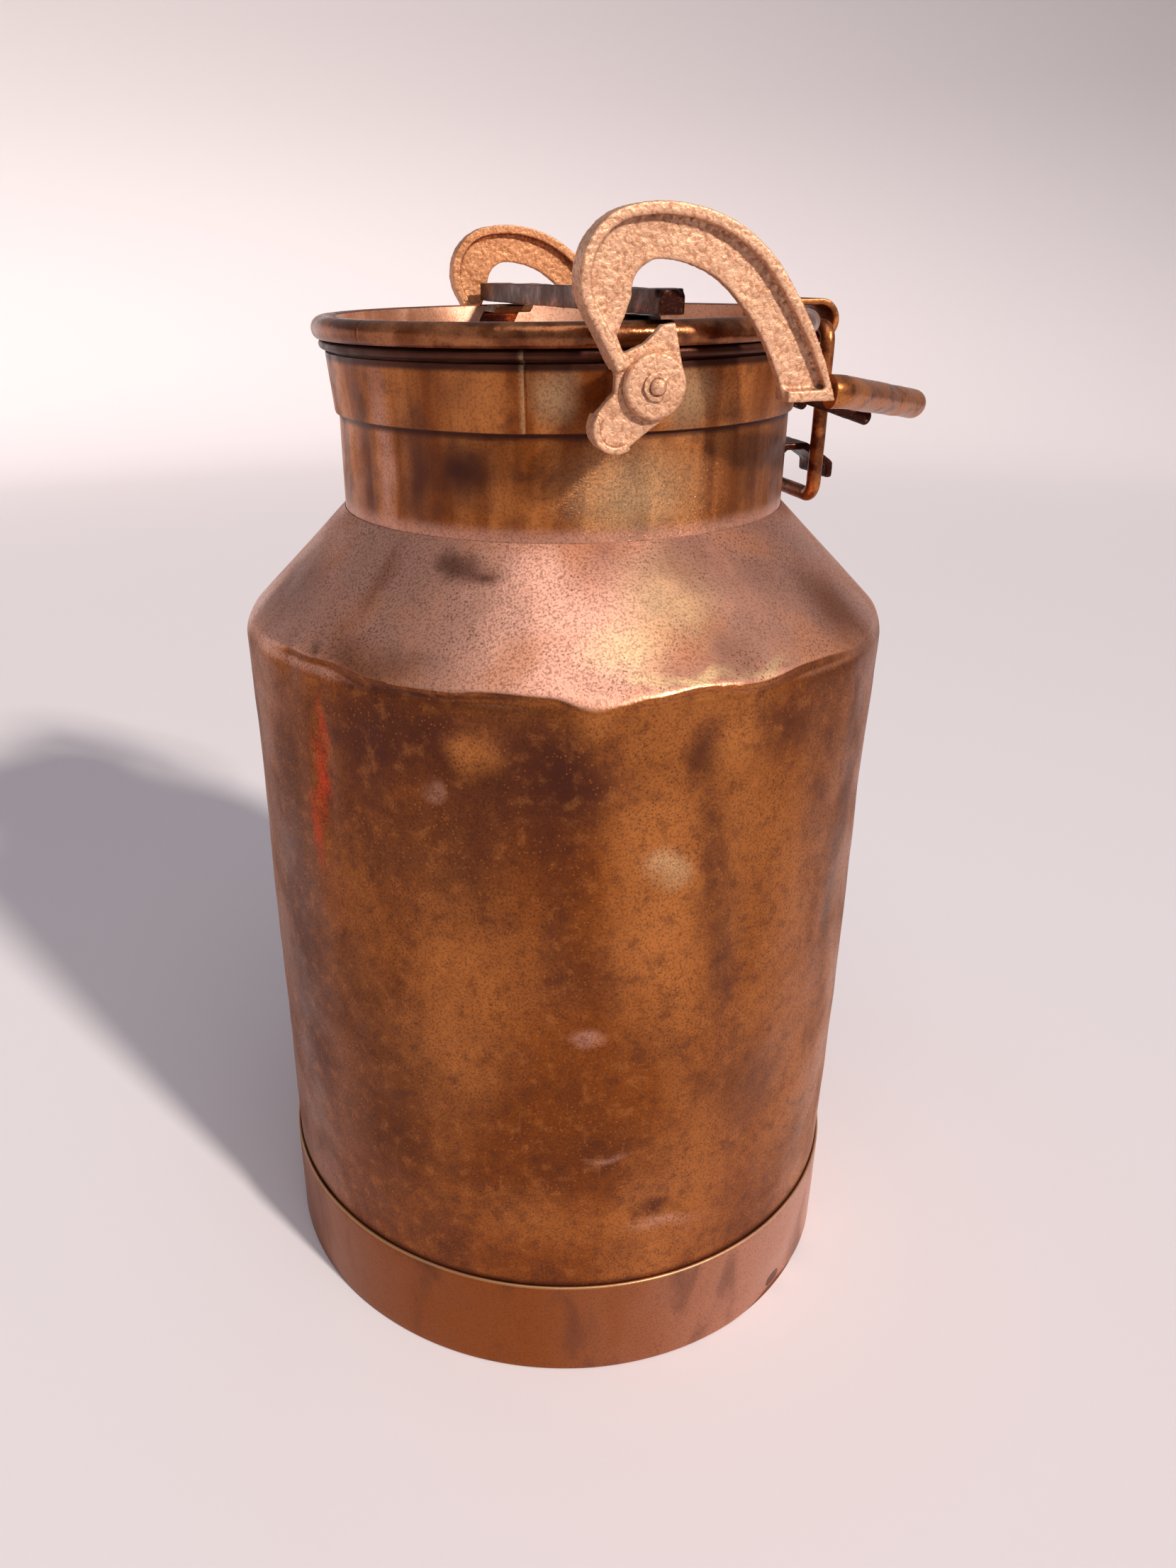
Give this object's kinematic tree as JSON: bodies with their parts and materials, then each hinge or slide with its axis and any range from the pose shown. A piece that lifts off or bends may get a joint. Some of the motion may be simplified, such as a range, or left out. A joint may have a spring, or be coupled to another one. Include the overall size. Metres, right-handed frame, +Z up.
{
  "type": "milk churn",
  "caption": "Copper milk churn with a sloping shoulder, hinged lid under a crossbar, cam levers and a bail handle behind the neck.",
  "frame": {"origin": "on the can's axis, on the surface it stands on", "axes": "+Z up, +X towards the hinge and the grip at the back, -Y towards the near lever, +Y towards the far lever"},
  "size_m": [0.2834, 0.2834, 0.4829],
  "materials": {
    "aged_copper": "aged and dented copper, satin, with brown patina",
    "dark_copper": "dark oxidised copper, matt",
    "cast_copper": "rough sand-cast copper alloy, worn bright on its edges",
    "seal_rubber": "old black rubber"
  },
  "bodies": {
    "can": {"foot_hoop": "aged_copper", "bottom_plate": "aged_copper", "barrel": "aged_copper", "shoulder": "aged_copper", "neck": "aged_copper", "collar_band": "aged_copper", "hinge_hook": "dark_copper", "grip_rest_near": "dark_copper", "grip_rest_far": "dark_copper", "trunnion_near": "cast_copper", "trunnion_far": "cast_copper", "pivot_pin_near": "cast_copper", "pivot_pin_far": "cast_copper", "washer_near": "cast_copper", "washer_far": "cast_copper"},
    "handle": {"lever_near": "cast_copper", "lever_far": "cast_copper", "grip_bail": "aged_copper"},
    "link": {"hinge_link": "aged_copper"},
    "lid": {"lid_rim": "aged_copper", "lid_seal": "seal_rubber", "lid_pan": "aged_copper", "crossbar": "dark_copper", "crossbar_leg_near": "dark_copper", "crossbar_leg_far": "dark_copper", "leg_rivet_near_front": "dark_copper", "leg_rivet_near_back": "dark_copper", "leg_rivet_far_front": "dark_copper", "leg_rivet_far_back": "dark_copper", "hinge_strap": "aged_copper", "strap_rivet_near": "aged_copper", "strap_rivet_far": "aged_copper"}
  },
  "joints": [
    {"name": "handle_swing", "type": "hinge", "parent": "can", "child": "handle", "pos_m": [0, 0, 0.4289], "axis": [0, -1, 0], "range_deg": [0, 115]},
    {"name": "lid_hinge", "type": "hinge", "parent": "can", "child": "lid", "pos_m": [0.109, 0, 0.44035], "axis": [0, 1, 0], "range_deg": [0, 105]},
    {"name": "link_swing", "type": "hinge", "parent": "can", "child": "link", "pos_m": [0.109, 0, 0.44035], "axis": [0, -1, 0], "range_deg": [-5, 20]}
  ]
}
